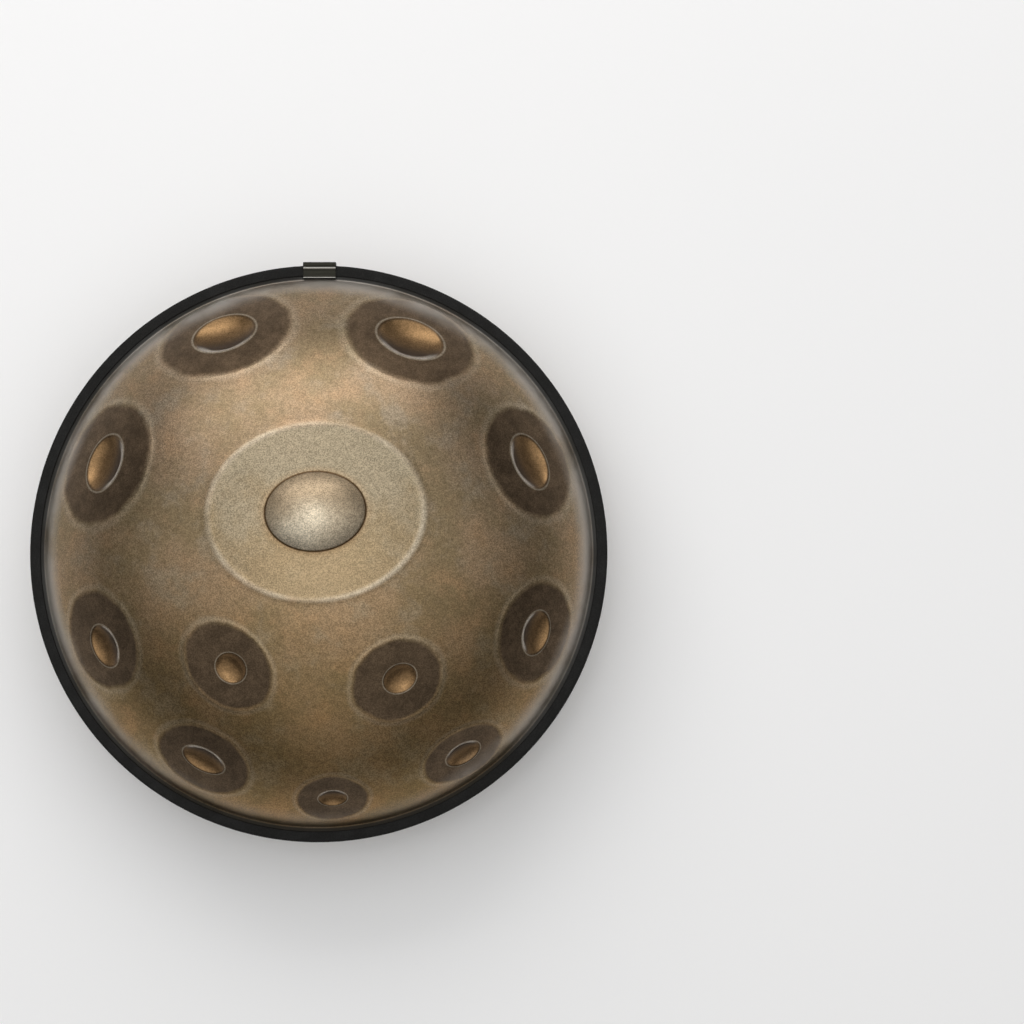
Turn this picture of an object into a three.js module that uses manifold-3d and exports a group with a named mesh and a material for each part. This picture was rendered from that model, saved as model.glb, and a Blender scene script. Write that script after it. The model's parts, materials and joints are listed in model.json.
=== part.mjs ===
// A handpan: two formed steel shells glued together at a flat rim flange, a rubber edge trim whose
// ends meet under a folded clip, and a moulded ring bonded into the port of the lower shell.
// Millimetres, +Z up. The origin is on the instrument's axis, in the face that it rests on. The clip
// is on the +Y side, and the player sits on the -Y side.

import * as THREE from "three";
import { mergeVertices } from "three/addons/utils/BufferGeometryUtils.js";
import Module from "manifold-3d";

// Shells. A dome rises by rise * (1 - (r / WALL_RADIUS) ^ DOME_FLATNESS) ^ (1 / DOME_SHOULDER).
const SHEET = 1.2;
const WALL_RADIUS = 265;
const FLANGE_WIDTH = 12;
const TOP_RISE = 124;
const BOTTOM_RISE = 108;
const DOME_FLATNESS = 2.25;
const DOME_SHOULDER = 1.35;
const RIM_FILLET = 3;
const GLUE_THICKNESS = 0.8;
const GLUE_INSET = 1;

// Port neck, drawn into the lower shell.
const NECK_START_RADIUS = 80;
const NECK_FILLET = 20;
const NECK_WALL = 8;

// Tone fields. A shallow dish flattens each field. Its dimple is the cap of an ellipsoid pressed in,
// and the ding is a cap raised outwards. CAP_CUT is where the cap is cut from a unit sphere.
const FIELD_DEPTH = 2.2;
const FIELD_SOFTNESS = 0.15;
const FIELD_REACH = 70;
const DIMPLE_SLOPE = 0.27;
const DING_HEIGHT = 13;
const CAP_CUT = 0.55;

// The layout. azimuth is counted anticlockwise from +X in degrees, inset inwards from the dome's wall
// and radius outwards from the axis. An oval's length runs along the rim before it is turned, and
// slide moves the field along the rim from its dimple.
const DING = { azimuth: 83, radius: 34, field: [203, 166], dimple: [97, 77], turn: -11, slide: 0 };
const NOTES = [
  { azimuth: 113, inset: 37, field: [133, 108], dimple: [61, 47], turn: 16, slide: 0 },
  { azimuth: 66, inset: 41, field: [129, 110], dimple: [64, 49], turn: -10, slide: 0 },
  { azimuth: 157.5, inset: 46, field: [124, 108], dimple: [55, 42], turn: -4, slide: 0 },
  { azimuth: 22.5, inset: 42, field: [114, 98], dimple: [54, 39], turn: -4, slide: 0 },
  { azimuth: 204.5, inset: 44, field: [99, 87], dimple: [41, 32], turn: 0, slide: -6 },
  { azimuth: 339.5, inset: 39, field: [100, 88], dimple: [42, 32], turn: -10, slide: 0 },
  { azimuth: 242, inset: 38, field: [96, 80], dimple: [42, 28], turn: -2, slide: 0 },
  { azimuth: 306, inset: 24, field: [86, 64], dimple: [35, 26], turn: 11, slide: 0 },
  { azimuth: 274, inset: 27, field: [69, 62], dimple: [27, 21], turn: 0, slide: 0 },
  { azimuth: 236, inset: 129, field: [95, 76], dimple: [30, 28], turn: 12, slide: -3 },
  { azimuth: 304, inset: 117, field: [90, 79], dimple: [32, 27], turn: 2, slide: -3 },
];

// Edge trim and its clip.
const TRIM_WALL = 2.7;
const TRIM_LEG = 2.4;
const TRIM_GAP = 2.3;
const TRIM_CORNER = 2.8;
const TRIM_TIP = 1;
const TRIM_JOINT = 1;
const CLIP_WIDTH = 32;
const CLIP_BACK = 2.6;
const CLIP_PLATE = 1.2;
const CLIP_STEP = 0.9;
const CLIP_STEP_WIDTH = 6.5;
const CLIP_HOOK = 1.3;
const CLIP_CORNER = 2.2;

// Port ring. Its bezel carries the instrument, and its lip narrows the hole.
const STANDOFF = 2;
const RING_COVER = 7;
const RING_CORNER = 2.4;
const RING_BEZEL_WIDTH = 8;
const RING_GROOVE = 1.5;
const RING_GROOVE_WIDTH = 1.4;
const RING_LIP_REACH = 7;
const RING_LIP_DROP = 6;
const RING_LIP_THICKNESS = 3;
const RING_SLEEVE_WALL = 3;
const BOND_INSET = 0.5;
const BOND_TOP_ANGLE = 65;

// Clearance between pieces that are seated on each other's round faces.
const FIT_GAP = 0.3;

// How finely round shapes are divided.
const RIM_SIDES = 64;
const PORT_SIDES = 40;
const TOP_STATIONS = 12;
const BOTTOM_STATIONS = 7;
const NECK_STATIONS = 4;
const CORNER_STEPS = 2;
const CAP_SIDES = 16;
const CAP_ROWS = 10;
const CUT_MARGIN = 2;

const MATERIALS = {
  top: { color: 0x8c765a, roughness: 0.42, metalness: 0.9 },
  bottom: { color: 0x857350, roughness: 0.45, metalness: 0.9 },
  glue: { color: 0x2b2a28, roughness: 0.6, metalness: 0 },
  trim: { color: 0x1c1c1d, roughness: 0.85, metalness: 0 },
  clip: { color: 0x3d3c36, roughness: 0.35, metalness: 0.9 },
  ring: { color: 0x0e0e10, roughness: 0.15, metalness: 0 },
  bond: { color: 0x161616, roughness: 0.7, metalness: 0 },
};

const flangeRadius = WALL_RADIUS + FLANGE_WIDTH;
const trimRadius = flangeRadius + FIT_GAP + TRIM_WALL;
const halfStack = SHEET + GLUE_THICKNESS / 2;
const topBend = filletRadius(TOP_RISE) + RIM_FILLET;
const tipRadius = topBend + TRIM_GAP;
const neckRadius = neckCentre().r - NECK_FILLET;
const ringRadius = neckRadius + RING_COVER;

// How far the round trim falls back from a straight line within half the clip's width.
const clipSag = (CLIP_WIDTH / 2) * Math.tan(Math.PI / RIM_SIDES);

const wasm = await Module();
wasm.setup();

function radians(degrees) {
  return (degrees * Math.PI) / 180;
}

// Height of a dome of the given rise at a distance from the axis.
function domeHeight(radius, rise) {
  const share = Math.pow(radius / WALL_RADIUS, DOME_FLATNESS);
  return rise * Math.pow(1 - share, 1 / DOME_SHOULDER);
}

// Angle of a dome's surface below the horizontal, at a distance from the axis.
function domeSlope(radius, rise) {
  const share = Math.pow(radius / WALL_RADIUS, DOME_FLATNESS);
  const fall = Math.pow(1 - share, 1 / DOME_SHOULDER - 1);
  const growth = Math.pow(radius / WALL_RADIUS, DOME_FLATNESS - 1);
  return Math.atan((rise * fall * DOME_FLATNESS * growth) / (DOME_SHOULDER * WALL_RADIUS));
}

// Distance from the axis at which a dome is as high as the fillet at its foot.
function filletRadius(rise) {
  const share = Math.pow(RIM_FILLET / rise, DOME_SHOULDER);
  return WALL_RADIUS * Math.pow(1 - share, 1 / DOME_FLATNESS);
}

// A station is a point of a shell's outer face and the direction of that face there, r then z.
function station(r, z, nr, nz) {
  return { r, z, nr, nz };
}

// Stations of a dome from one distance to another, closer together towards the steep wall.
function domeStations(from, rise, count) {
  const to = filletRadius(rise);
  const stations = [];
  for (let i = 0; i <= count; i += 1) {
    const t = i / count;
    const spread = (t + Math.sin((t * Math.PI) / 2)) / 2;
    const r = from + (to - from) * spread;
    const slope = domeSlope(r, rise);
    stations.push(station(r, domeHeight(r, rise), Math.sin(slope), Math.cos(slope)));
  }
  return stations;
}

// Stations of the fillet between a dome and its flange, and of the flange's edge.
function rimStations(rise) {
  const centre = filletRadius(rise) + RIM_FILLET;
  const stations = [];
  for (let i = 1; i <= CORNER_STEPS; i += 1) {
    const angle = (i / CORNER_STEPS) * (Math.PI / 2);
    const nr = Math.cos(angle);
    const nz = Math.sin(angle);
    stations.push(station(centre - RIM_FILLET * nr, RIM_FILLET * (1 - nz), nr, nz));
  }
  stations.push(station(flangeRadius, 0, 0, 1));
  return stations;
}

// Centre of the neck's fillet, r then z, in the lower shell's own upside-down frame.
function neckCentre() {
  const slope = domeSlope(NECK_START_RADIUS, BOTTOM_RISE);
  const r = NECK_START_RADIUS - NECK_FILLET * Math.sin(slope);
  const z = domeHeight(NECK_START_RADIUS, BOTTOM_RISE) - NECK_FILLET * Math.cos(slope);
  return { r, z };
}

// Stations of the neck, from its free edge to where the dome takes over.
function neckStations() {
  const centre = neckCentre();
  const end = domeSlope(NECK_START_RADIUS, BOTTOM_RISE);
  const start = -Math.PI / 2;
  const stations = [station(centre.r - NECK_FILLET, centre.z - NECK_WALL, -1, 0)];
  for (let i = 0; i < NECK_STATIONS; i += 1) {
    const angle = start + ((end - start) * i) / NECK_STATIONS;
    const nr = Math.sin(angle);
    const nz = Math.cos(angle);
    stations.push(station(centre.r + NECK_FILLET * nr, centre.z + NECK_FILLET * nz, nr, nz));
  }
  return stations;
}

// Turns a closed outline of [r, z] points about the Z axis into a solid that faces outwards.
function revolve(outline, sides) {
  const area = THREE.ShapeUtils.area(outline.map(([r, z]) => new THREE.Vector2(r, z)));
  const ordered = area > 0 ? outline : outline.toReversed();
  const points = ordered.map(([r, z]) => new THREE.Vector2(r, z));
  points.push(points[0].clone());
  return new THREE.LatheGeometry(points, sides).rotateX(Math.PI / 2);
}

// Points of an arc between two angles in degrees, both ends included.
function arc(r, z, radius, from, to, steps = CORNER_STEPS) {
  const points = [];
  for (let i = 0; i <= steps; i += 1) {
    const angle = radians(from + ((to - from) * i) / steps);
    points.push([r + radius * Math.cos(angle), z + radius * Math.sin(angle)]);
  }
  return points;
}

// The frame of a tone field: its centre on the dome, its two in-plane directions and its normal.
function fieldFrame(note, slide) {
  const azimuth = radians(note.azimuth);
  const radius = note.radius ?? WALL_RADIUS - note.inset;
  const slope = domeSlope(radius, TOP_RISE);
  const outward = new THREE.Vector3(Math.cos(azimuth), Math.sin(azimuth), 0);
  const up = new THREE.Vector3(0, 0, 1);
  const along = new THREE.Vector3(-Math.sin(azimuth), Math.cos(azimuth), 0);
  const down = outward.clone().multiplyScalar(Math.cos(slope)).addScaledVector(up, -Math.sin(slope));
  const normal = outward.clone().multiplyScalar(Math.sin(slope)).addScaledVector(up, Math.cos(slope));
  const turn = radians(note.turn);
  const centre = outward.clone().multiplyScalar(radius);
  centre.z = domeHeight(radius, TOP_RISE);
  centre.addScaledVector(along, slide);
  return {
    centre,
    normal,
    u: along.clone().multiplyScalar(Math.cos(turn)).addScaledVector(down, Math.sin(turn)),
    v: down.clone().multiplyScalar(Math.cos(turn)).addScaledVector(along, -Math.sin(turn)),
  };
}

// How far inside an oval a point lies: 1 at its centre, 0 on its outline and beyond.
function inside(point, frame, [length, width]) {
  const offset = point.clone().sub(frame.centre);
  if (Math.abs(offset.dot(frame.normal)) > FIELD_REACH) {
    return 0;
  }
  const u = (2 * offset.dot(frame.u)) / length;
  const v = (2 * offset.dot(frame.v)) / width;
  return Math.max(0, 1 - u * u - v * v);
}

// How far a tone field moves the sheet outwards at a point of the plain dome.
function fieldOffset(point, note) {
  const share = inside(point, fieldFrame(note, note.slide), note.field);
  return (-FIELD_DEPTH * share * share) / (share + FIELD_SOFTNESS);
}

// How far all the tone fields together move the sheet.
function dishOffset(point) {
  return [DING, ...NOTES].reduce((sum, note) => sum + fieldOffset(point, note), 0);
}

// The ellipsoid whose cap makes a dimple, with rise below zero, or the ding, with rise above it.
// grow makes it larger all round.
function capTool(note, rise, grow) {
  const frame = fieldFrame(note, 0);
  const share = Math.sqrt(1 - CAP_CUT * CAP_CUT);
  const height = Math.abs(rise) / (1 - CAP_CUT);
  const [length, width] = note.dimple;
  const ball = new THREE.SphereGeometry(1, CAP_SIDES, CAP_ROWS);
  ball.rotateX(Math.PI / 2);
  ball.scale(width / 2 / share + grow, length / 2 / share + grow, height + grow);
  const lift = fieldOffset(frame.centre, note) - Math.sign(rise) * CAP_CUT * height;
  const place = new THREE.Matrix4().makeBasis(frame.v, frame.u, frame.normal);
  place.setPosition(frame.centre.clone().addScaledVector(frame.normal, lift));
  return solid(ball.applyMatrix4(place));
}

// The solid form under one face of the upper shell's sheet: the outer face at depth 0, and the inner
// face at depth SHEET. foot is the outline that closes it, from the last station back to the axis.
function topForm(stations, depth, foot) {
  const path = [...stations, ...foot.map(([r, z]) => station(r, z, 0, 0))];
  const points = path.map((s) => new THREE.Vector2(s.r - s.nr * depth, s.z - s.nz * depth));
  const geometry = new THREE.LatheGeometry(points.reverse(), RIM_SIDES).rotateX(Math.PI / 2);
  path.reverse();
  const position = geometry.attributes.position;
  for (let i = 0; i < position.count; i += 1) {
    const s = path[i % path.length];
    const azimuth = Math.atan2(position.getY(i), position.getX(i));
    const cos = Math.cos(azimuth);
    const sin = Math.sin(azimuth);
    const offset = dishOffset(new THREE.Vector3(s.r * cos, s.r * sin, s.z));
    position.setX(i, position.getX(i) + s.nr * cos * offset);
    position.setY(i, position.getY(i) + s.nr * sin * offset);
    position.setZ(i, position.getZ(i) + s.nz * offset);
  }
  return solid(geometry);
}

// One face of the upper shell as a solid form, with the ding added and the dimples pressed in.
function toneForm(stations, depth, foot) {
  let form = topForm(stations, depth, foot).add(capTool(DING, DING_HEIGHT, -depth));
  for (const note of NOTES) {
    form = form.subtract(capTool(note, (-DIMPLE_SLOPE * note.dimple[1]) / 2, depth));
  }
  return form;
}

// The upper shell, with its flange's visible face at z = 0: the form of its outer face less the form
// of its inner face.
function topShell() {
  const stations = [...domeStations(0, TOP_RISE, TOP_STATIONS), ...rimStations(TOP_RISE)];
  const outerFoot = [[flangeRadius, -SHEET], [0, -SHEET]];
  const innerFoot = [[topBend, -SHEET - CUT_MARGIN], [0, -SHEET - CUT_MARGIN]];
  const outer = toneForm(stations, 0, outerFoot);
  return fromSolid(outer.subtract(toneForm(stations.slice(0, -1), SHEET, innerFoot)));
}

// The lower shell, with its flange's visible face at z = 0 and its dome below.
function bottomShell() {
  const dome = domeStations(NECK_START_RADIUS, BOTTOM_RISE, BOTTOM_STATIONS);
  const stations = [...neckStations(), ...dome, ...rimStations(BOTTOM_RISE)];
  const outer = stations.map((s) => [s.r, -s.z]);
  const inner = stations.map((s) => [s.r - s.nr * SHEET, -(s.z - s.nz * SHEET)]);
  return revolve([...outer, ...inner.reverse()], RIM_SIDES);
}

// The glue between the flanges, with z = 0 at its middle.
function rimGlue() {
  const half = GLUE_THICKNESS / 2;
  const innerRadius = WALL_RADIUS + GLUE_INSET;
  const outerRadius = flangeRadius - GLUE_INSET;
  const outline = [
    [innerRadius, -half],
    [outerRadius, -half],
    [outerRadius, half],
    [innerRadius, half],
  ];
  return revolve(outline, RIM_SIDES);
}

// Half of the trim's U section, above z = 0, from the slot's mouth round to the back of the trim.
function trimHalfSection() {
  const height = halfStack + TRIM_LEG;
  return [
    [flangeRadius + FIT_GAP, halfStack],
    [tipRadius, halfStack],
    ...arc(tipRadius + TRIM_TIP, height - TRIM_TIP, TRIM_TIP, 180, 90, 1),
    ...arc(trimRadius - TRIM_CORNER, height - TRIM_CORNER, TRIM_CORNER, 90, 0),
  ];
}

// The triangles of a mesh that have three different corners.
function fullTriangles(index) {
  const kept = [];
  for (let i = 0; i < index.length; i += 3) {
    const [a, b, c] = index.slice(i, i + 3);
    if (a !== b && b !== c && c !== a) {
      kept.push(a, b, c);
    }
  }
  return new Uint32Array(kept);
}

function solid(geometry) {
  const plain = geometry.clone();
  plain.deleteAttribute("normal");
  plain.deleteAttribute("uv");
  const merged = mergeVertices(plain);
  const vertProperties = new Float32Array(merged.attributes.position.array);
  const triVerts = fullTriangles(merged.index.array);
  return new wasm.Manifold(new wasm.Mesh({ numProp: 3, vertProperties, triVerts }));
}

function fromSolid(manifold) {
  const mesh = manifold.getMesh();
  const geometry = new THREE.BufferGeometry();
  geometry.setAttribute("position", new THREE.BufferAttribute(mesh.vertProperties, 3));
  geometry.setIndex(new THREE.BufferAttribute(mesh.triVerts, 1));
  return geometry;
}

// The rubber trim, cut through where its two ends meet under the clip.
function edgeTrim() {
  const upper = trimHalfSection();
  const lower = upper.map(([r, z]) => [r, -z]).reverse();
  const ring = revolve([...upper, ...lower], RIM_SIDES);
  const cut = new THREE.BoxGeometry(TRIM_JOINT, 2 * FLANGE_WIDTH, 4 * (halfStack + TRIM_LEG));
  cut.translate(0, trimRadius, 0);
  return fromSolid(solid(ring).subtract(solid(cut)));
}

// Height of the upper shell's rim fillet above its flange, at a distance from the axis.
function filletHeight(radius) {
  const reach = Math.max(0, topBend - radius);
  return RIM_FILLET - Math.sqrt(Math.max(0, RIM_FILLET * RIM_FILLET - reach * reach));
}

// Half of the clip's section, above z = 0: the inside face from back to hook, then the outside.
function clipHalfSection() {
  const inner = halfStack + TRIM_LEG + FIT_GAP;
  const back = trimRadius + FIT_GAP;
  const hook = tipRadius - clipSag - FIT_GAP;
  const foot = halfStack + filletHeight(hook - CLIP_HOOK) + FIT_GAP;
  const plate = inner + CLIP_PLATE;
  const raised = plate + CLIP_STEP;
  const step = back + CLIP_BACK - CLIP_STEP_WIDTH;
  const corner = arc(back + CLIP_BACK - CLIP_CORNER, raised - CLIP_CORNER, CLIP_CORNER, 90, 0);
  return [
    [back, inner],
    [hook, inner],
    [hook, foot],
    [hook - CLIP_HOOK, foot],
    [hook - CLIP_HOOK, plate + CLIP_STEP / 2],
    [hook, plate + CLIP_STEP / 2],
    [hook, plate],
    [step, plate],
    [step, raised],
    ...corner,
  ];
}

// The clip, folded round the trim on the +Y side.
function trimClip() {
  const upper = clipHalfSection();
  const lower = upper.map(([r, z]) => [r, -z]).reverse();
  const shape = new THREE.Shape([...upper, ...lower].map(([r, z]) => new THREE.Vector2(r, z)));
  const geometry = new THREE.ExtrudeGeometry(shape, { depth: CLIP_WIDTH, bevelEnabled: false });
  geometry.translate(0, 0, -CLIP_WIDTH / 2);
  const toWorld = new THREE.Matrix4().makeBasis(
    new THREE.Vector3(0, 1, 0),
    new THREE.Vector3(0, 0, 1),
    new THREE.Vector3(1, 0, 0),
  );
  return geometry.applyMatrix4(toWorld);
}

// Height of the neck fillet's centre above the face that the instrument rests on.
function neckCentreHeight() {
  return STANDOFF + NECK_FILLET;
}

// Height of the lower shell's face above the resting face, at a distance from the axis.
function neckFaceHeight(radius) {
  const reach = neckCentre().r - radius;
  return neckCentreHeight() - Math.sqrt(NECK_FILLET * NECK_FILLET - reach * reach);
}

// Height of the back of the port ring's bezel, just under the shell.
function ringSeat() {
  return neckFaceHeight(ringRadius) - FIT_GAP;
}

// The port ring, with the face that the instrument rests on at z = 0.
function portRing() {
  const sleeveRadius = neckRadius - FIT_GAP;
  const sleeveInner = sleeveRadius - RING_SLEEVE_WALL;
  const top = neckCentreHeight() + NECK_WALL;
  const bezelInner = ringRadius - RING_BEZEL_WIDTH;
  const lipStart = bezelInner - RING_GROOVE_WIDTH;
  const holeRadius = sleeveInner - RING_LIP_REACH;
  const lipRun = lipStart - holeRadius;
  const lipBack = RING_LIP_DROP + RING_LIP_THICKNESS;
  const lip = arc(0, 0, 1, -90, -180, 2 * CORNER_STEPS).map(([x, y]) => [
    lipStart + lipRun * x,
    RING_LIP_DROP + (RING_LIP_DROP - RING_GROOVE / 2) * y,
  ]);
  return revolve(
    [
      [ringRadius, ringSeat()],
      ...arc(ringRadius - RING_CORNER, RING_CORNER, RING_CORNER, 0, -90),
      [bezelInner + RING_GROOVE / 2, 0],
      [bezelInner, RING_GROOVE / 2],
      [bezelInner, RING_GROOVE],
      [lipStart, RING_GROOVE],
      ...lip,
      [holeRadius, lipBack],
      [sleeveInner, lipBack],
      [sleeveInner, top],
      [sleeveRadius, top],
      [sleeveRadius, ringSeat()],
    ],
    PORT_SIDES,
  );
}

// The sealant between the bezel's back, the sleeve and the neck's fillet.
function portBond() {
  const centre = neckCentre();
  const reach = NECK_FILLET + FIT_GAP;
  const outerRadius = ringRadius - BOND_INSET;
  const from = -Math.asin((centre.r - outerRadius) / reach);
  const to = -radians(BOND_TOP_ANGLE);
  const face = [];
  for (let i = 0; i <= 2 * CORNER_STEPS; i += 1) {
    const angle = from + ((to - from) * i) / (2 * CORNER_STEPS);
    const r = centre.r + reach * Math.sin(angle);
    face.push([r, neckCentreHeight() - reach * Math.cos(angle)]);
  }
  const bondTop = face[face.length - 1][1];
  const foot = [[neckRadius, ringSeat()], [outerRadius, ringSeat()]];
  return revolve([...foot, ...face, [neckRadius, bondTop]], PORT_SIDES);
}

// Height of the lower shell's flange above the resting face.
function lowerFlangeHeight() {
  return STANDOFF + NECK_FILLET + neckCentre().z;
}

const handpan = new THREE.Group();

function addPiece(name, geometry, finish, height) {
  const mesh = new THREE.Mesh(geometry, new THREE.MeshStandardMaterial(finish));
  mesh.name = name;
  mesh.position.z = height;
  handpan.add(mesh);
}

const lowerFace = lowerFlangeHeight();
const rimMiddle = lowerFace + halfStack;
const upperFace = rimMiddle + halfStack;

addPiece("top_shell", topShell(), MATERIALS.top, upperFace);
addPiece("bottom_shell", bottomShell(), MATERIALS.bottom, lowerFace);
addPiece("rim_glue", rimGlue(), MATERIALS.glue, rimMiddle);
addPiece("edge_trim", edgeTrim(), MATERIALS.trim, rimMiddle);
addPiece("trim_clip", trimClip(), MATERIALS.clip, rimMiddle);
addPiece("port_ring", portRing(), MATERIALS.ring, 0);
addPiece("port_bond", portBond(), MATERIALS.bond, 0);

export default handpan;
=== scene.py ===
"""A handpan on a pale studio floor: two pressed steel shells, their rubber edge trim and a port ring.

Everything is in metres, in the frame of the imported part: +Z up, the instrument's axis at the origin,
the clip of the edge trim towards +Y and the player towards -Y.
"""

from __future__ import annotations

import json
import logging
import math
from dataclasses import dataclass, field
from enum import Enum

import bpy
import numpy as np
from mathutils import Matrix, Vector

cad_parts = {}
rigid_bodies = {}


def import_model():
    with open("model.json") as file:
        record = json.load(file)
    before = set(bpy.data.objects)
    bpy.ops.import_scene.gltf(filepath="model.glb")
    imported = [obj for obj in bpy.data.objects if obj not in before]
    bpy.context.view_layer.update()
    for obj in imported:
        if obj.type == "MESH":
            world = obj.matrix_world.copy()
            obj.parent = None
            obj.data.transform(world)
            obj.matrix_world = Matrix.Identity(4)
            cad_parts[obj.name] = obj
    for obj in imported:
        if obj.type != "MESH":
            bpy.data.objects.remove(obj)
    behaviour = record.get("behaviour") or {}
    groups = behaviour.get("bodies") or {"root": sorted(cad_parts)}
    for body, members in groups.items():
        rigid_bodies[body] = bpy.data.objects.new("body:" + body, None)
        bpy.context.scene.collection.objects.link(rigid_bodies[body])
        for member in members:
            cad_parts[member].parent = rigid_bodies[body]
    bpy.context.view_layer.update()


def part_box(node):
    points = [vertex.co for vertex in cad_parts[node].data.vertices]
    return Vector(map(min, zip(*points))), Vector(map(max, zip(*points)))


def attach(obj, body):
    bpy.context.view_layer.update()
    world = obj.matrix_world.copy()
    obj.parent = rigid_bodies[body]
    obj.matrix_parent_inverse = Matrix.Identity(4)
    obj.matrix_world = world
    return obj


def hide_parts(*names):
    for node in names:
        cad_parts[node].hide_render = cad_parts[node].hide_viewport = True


LOG = logging.getLogger("handpan")
MM = 0.001
BODY = "root"

Colour = tuple[float, float, float]
Span = tuple[float, float]
Section = list[Span]
Socket = bpy.types.NodeSocket
Piece = bpy.types.Object
# What a mark holds well outside its tone, and the limits that turn noise into clear patches.
FAR = 3.0
CLOUD = (0.36, 0.64)


class Slot(Enum):
    """The record's material slots."""

    TOP_SHELL = "top_shell"
    BOTTOM_SHELL = "bottom_shell"
    RIM_GLUE = "rim_glue"
    EDGE_TRIM = "edge_trim"
    TRIM_CLIP = "trim_clip"
    PORT_RING = "port_ring"
    PORT_BOND = "port_bond"


class Coat(Enum):
    """How a shell's steel was left: wiped smooth over its tones, or grained all over."""

    TUNED = "tuned"
    PLAIN = "plain"


# ---------------------------------------------------------------- meshes


def arc(centre: Span, radius: float, start: float, end: float, steps: int) -> Section:
    """Points of an arc in the plane of a section.

    Args:
        centre: Distance from the axis and height of the arc's centre.
        radius: Radius of the arc.
        start: Angle of the first point, in degrees.
        end: Angle of the last point, in degrees.
        steps: Number of steps between them.

    Returns:
        The points, both ends included.
    """
    angles = np.radians(np.linspace(start, end, steps + 1))
    return [(centre[0] + radius * math.cos(a), centre[1] + radius * math.sin(a)) for a in angles]


def resample(points: np.ndarray, step: float) -> np.ndarray:
    """Spreads a line's points evenly along it.

    Args:
        points: One point a row.
        step: The wanted spacing.

    Returns:
        New points on the same line, both ends included.
    """
    runs = np.linalg.norm(np.diff(points, axis=0), axis=1)
    travelled = np.concatenate([[0.0], np.cumsum(runs)])
    count = max(2, int(round(travelled[-1] / step)) + 1)
    wanted = np.linspace(0.0, travelled[-1], count)
    return np.column_stack([np.interp(wanted, travelled, column) for column in points.T])


def make_object(name: str, points: np.ndarray, faces: list[np.ndarray], sharp: float | None) -> Piece:
    """Makes a mesh object from its points and faces.

    Args:
        name: Name of the piece.
        points: One point a row.
        faces: Arrays of faces, one face a row, each array with its own number of corners.
        sharp: Angle in degrees above which an edge stays crisp, or None to smooth them all.

    Returns:
        The new object, already in the scene.
    """
    corners = np.concatenate([f.ravel() for f in faces]).astype(np.int32)
    sizes = np.concatenate([np.full(len(f), f.shape[1]) for f in faces])
    starts = np.concatenate([[0], np.cumsum(sizes)[:-1]]).astype(np.int32)
    mesh = bpy.data.meshes.new(name)
    mesh.vertices.add(len(points))
    mesh.vertices.foreach_set("co", points.astype(np.float32).ravel())
    mesh.loops.add(len(corners))
    mesh.loops.foreach_set("vertex_index", corners)
    mesh.polygons.add(len(starts))
    mesh.polygons.foreach_set("loop_start", starts)
    mesh.polygons.foreach_set("use_smooth", np.ones(len(starts), dtype=bool))
    mesh.update(calc_edges=True)
    mesh.validate()
    if sharp is not None:
        mesh.set_sharp_from_angle(angle=math.radians(sharp))
    piece = bpy.data.objects.new(name, mesh)
    bpy.context.scene.collection.objects.link(piece)
    return piece


def band_faces(rows: int, columns: int, wrap_rows: bool, wrap_columns: bool) -> np.ndarray:
    """Quads of a grid whose points are stored column by column.

    Args:
        rows: Points along the section.
        columns: Sections round the axis.
        wrap_rows: Whether the section is a closed loop.
        wrap_columns: Whether the sections go all the way round.

    Returns:
        One quad a row, facing outwards for a section that runs anticlockwise.
    """
    i = np.arange(columns if wrap_columns else columns - 1)
    j = np.arange(rows if wrap_rows else rows - 1)
    column, row = (a.ravel() for a in np.meshgrid(i, j, indexing="ij"))
    after, above = (column + 1) % columns * rows, (row + 1) % rows
    column = column * rows
    return np.column_stack([column + row, after + row, after + above, column + above])


def end_faces(rows: int, columns: int) -> np.ndarray:
    """The two faces that close the first and the last section of a grid.

    Args:
        rows: Points in a section.
        columns: Number of sections.

    Returns:
        The two faces, one a row.
    """
    loop = np.arange(rows)
    return np.vstack([loop[::-1], (columns - 1) * rows + loop])


def turned(name: str, section: Section, sides: int, sharp: float) -> Piece:
    """Turns a closed section about the instrument's axis.

    Args:
        name: Name of the piece.
        section: Distance from the axis and height of each point, anticlockwise.
        sides: Number of steps round the axis.
        sharp: Angle in degrees above which an edge stays crisp.

    Returns:
        The new object.
    """
    line = np.array(section)
    angles = np.linspace(0.0, 2.0 * math.pi, sides, endpoint=False)
    radius, height = np.tile(line[:, 0], sides), np.tile(line[:, 1], sides)
    angle = np.repeat(angles, len(line))
    points = np.column_stack([radius * np.cos(angle), radius * np.sin(angle), height])
    return make_object(name, points, [band_faces(len(line), sides, True, True)], sharp)


def set_mark(piece: Piece, name: str, values: np.ndarray) -> None:
    """Stores a number at each point of a piece for its finish to read.

    Args:
        piece: The piece.
        name: Name of the mark.
        values: One number for each point.
    """
    mark = piece.data.attributes.new(name, "FLOAT", "POINT")
    mark.data.foreach_set("value", values.astype(np.float32))


def settle(piece: Piece, material: bpy.types.Material, slot: Slot, *nodes: str) -> Piece:
    """Dresses a piece, fixes it to the part and lets it stand for its plain nodes.

    Args:
        piece: The piece, in place.
        material: Its finish.
        slot: The record's material slot for it; not used.
        nodes: The nodes that it stands for.

    Returns:
        The piece.
    """
    piece.data.materials.append(material)
    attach(piece, BODY)
    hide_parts(*nodes)
    LOG.info("%s: %d faces, stands for %s", piece.name, len(piece.data.polygons), ", ".join(nodes))
    return piece


# ---------------------------------------------------------------- node work


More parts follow.
